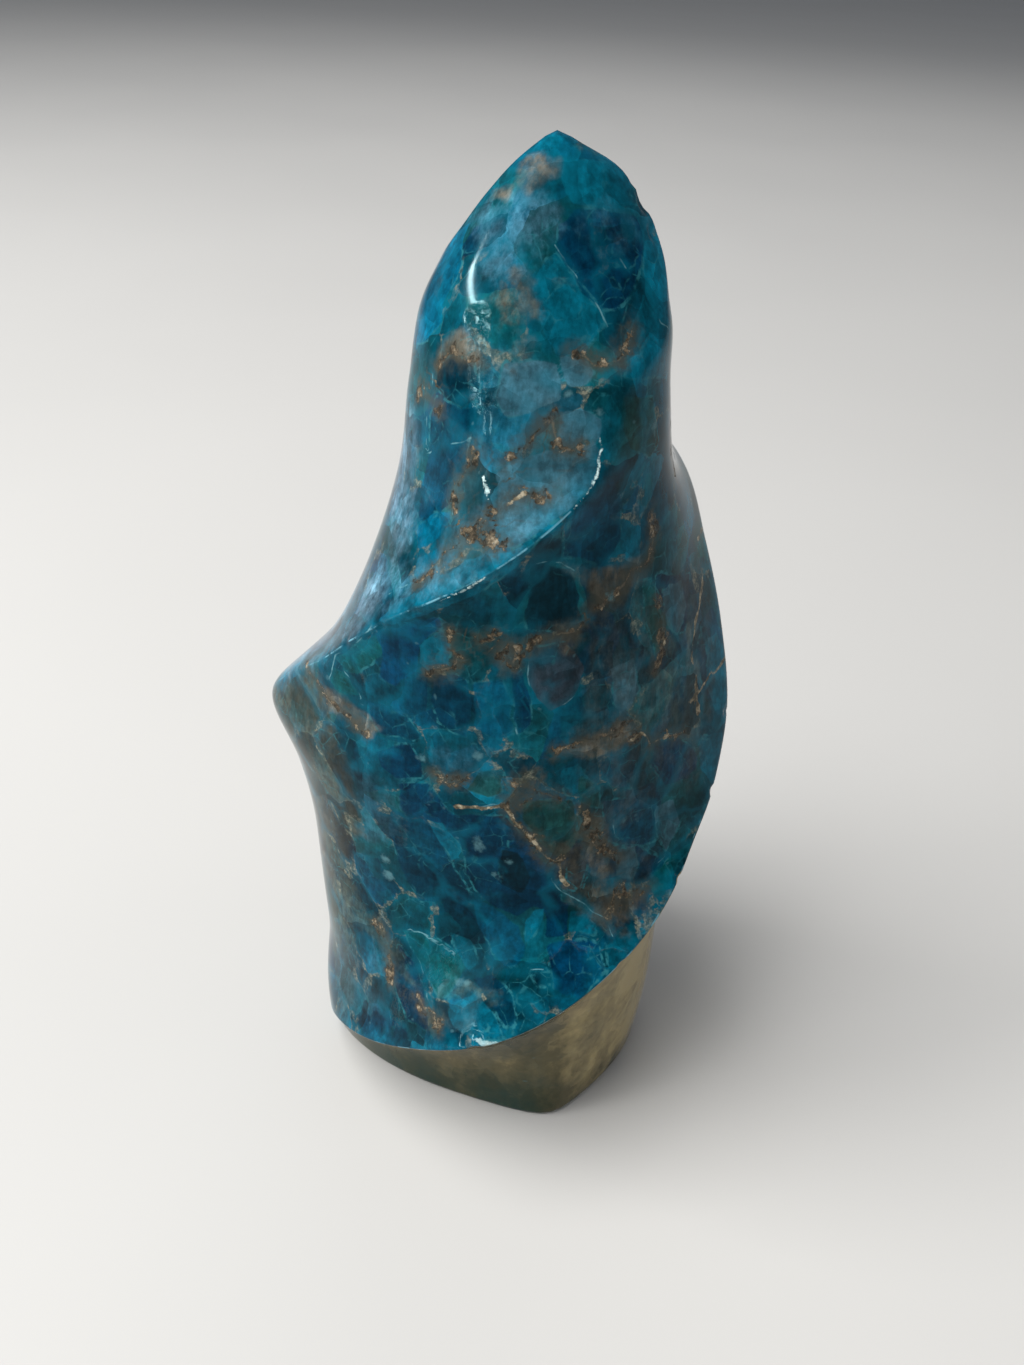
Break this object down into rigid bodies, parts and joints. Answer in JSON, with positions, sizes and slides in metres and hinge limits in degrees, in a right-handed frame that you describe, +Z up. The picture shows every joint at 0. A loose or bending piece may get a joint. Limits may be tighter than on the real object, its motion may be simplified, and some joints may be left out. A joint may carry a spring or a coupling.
{
  "type": "apatite flame carving",
  "caption": "Free-standing polished stone flame with winding sharp ridges, a flat foot and a pointed tip, for display.",
  "frame": {"origin": "centre of the stone's bounding box, on the surface that it stands on", "axes": "+Z up towards the tip, +X to the stone's right and -Y towards the viewer, with the low front ridge facing -Y"},
  "size_m": [0.0696, 0.0654, 0.1488],
  "materials": {
    "apatite": "polished teal and blue stone with rust-coloured seams, pale cracks and grey haze"
  },
  "bodies": {
    "root": {"flame": "apatite"}
  },
  "joints": []
}
